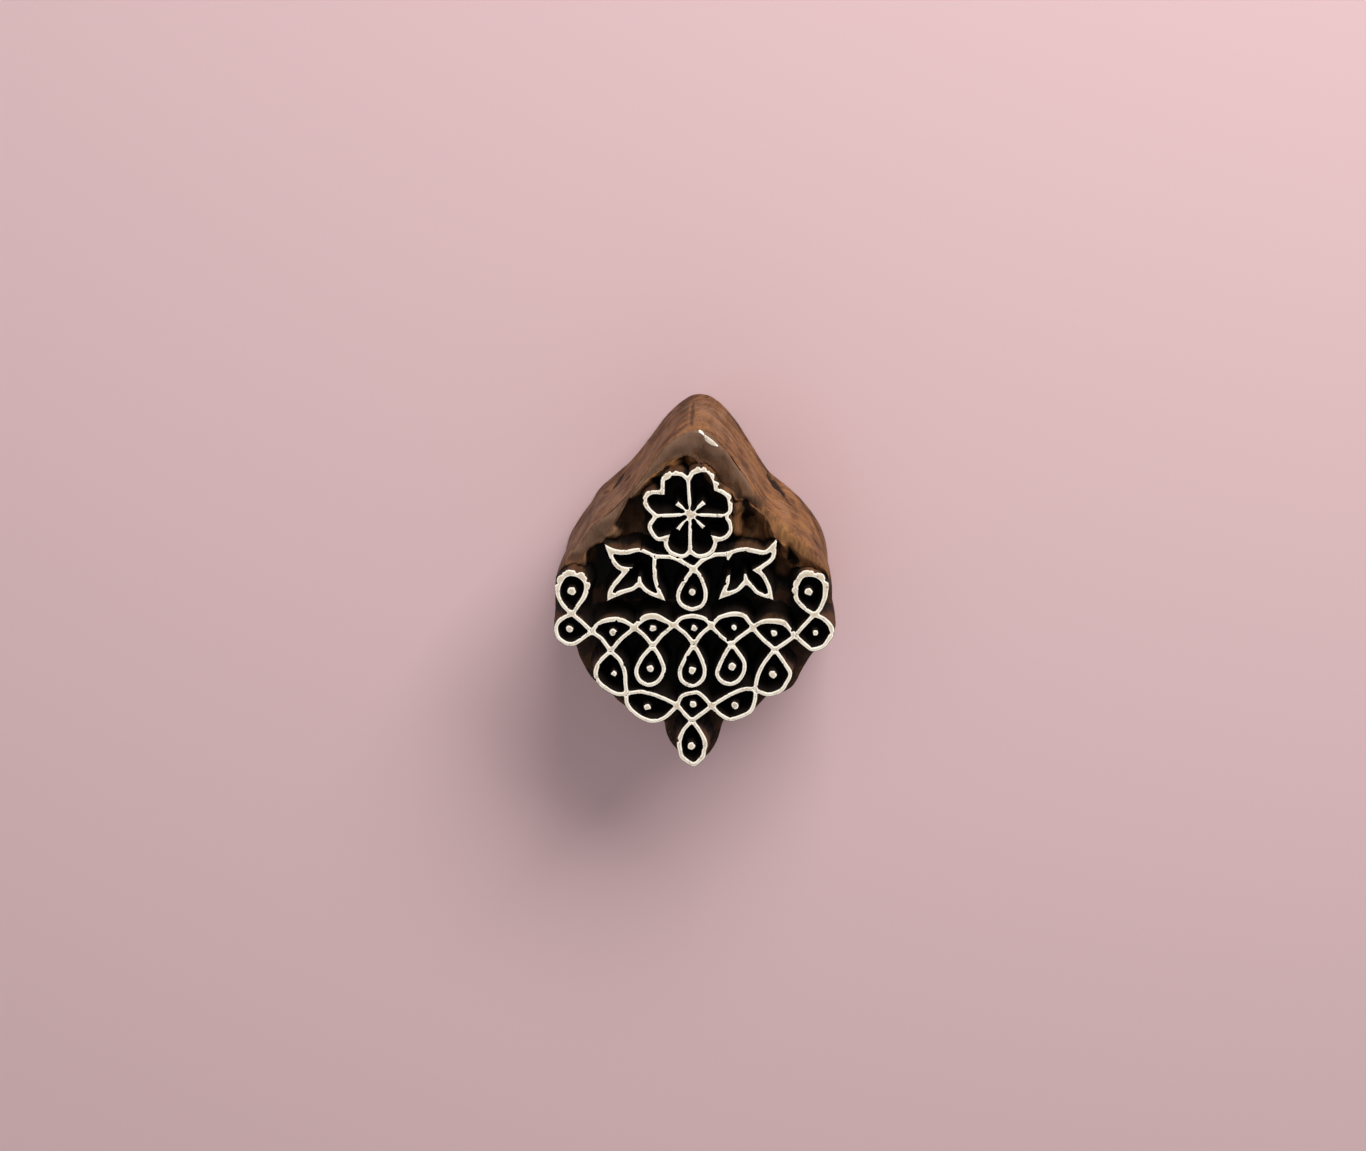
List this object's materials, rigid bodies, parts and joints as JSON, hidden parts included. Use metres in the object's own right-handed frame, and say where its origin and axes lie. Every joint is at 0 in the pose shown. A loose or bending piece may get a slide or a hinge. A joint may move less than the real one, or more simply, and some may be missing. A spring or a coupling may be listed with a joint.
{
  "type": "textile printing block",
  "caption": "Hand-carved wooden block for printing cloth: an onion-shaped billet whose raised lines loop round dots under a flower and two leaves.",
  "frame": {"origin": "middle of the block's box on the flat back", "axes": "+Z out of the printing face, +Y towards the pointed end, +X to the right when the face is looked at"},
  "size_m": [0.0576, 0.073, 0.036],
  "materials": {
    "side_wood": "dry, hand sawn and rasped",
    "carved_wood": "knife cut, stained dark with dye",
    "ground_coat": "chalky white coat, chipped at the edges"
  },
  "bodies": {
    "root": {"block_body": "side_wood", "flower_relief": "carved_wood", "stem_loop_relief": "carved_wood", "left_leaf_relief": "carved_wood", "right_leaf_relief": "carved_wood", "arch_band_relief": "carved_wood", "left_eight_relief": "carved_wood", "right_eight_relief": "carved_wood", "drop_loops_relief": "carved_wood", "swags_relief": "carved_wood", "pendant_relief": "carved_wood", "dot_posts": "carved_wood", "flower_coat": "ground_coat", "stem_loop_coat": "ground_coat", "left_leaf_coat": "ground_coat", "right_leaf_coat": "ground_coat", "arch_band_coat": "ground_coat", "left_eight_coat": "ground_coat", "right_eight_coat": "ground_coat", "drop_loops_coat": "ground_coat", "swags_coat": "ground_coat", "pendant_coat": "ground_coat", "dot_coats": "ground_coat", "rim_fleck": "ground_coat"}
  },
  "joints": []
}
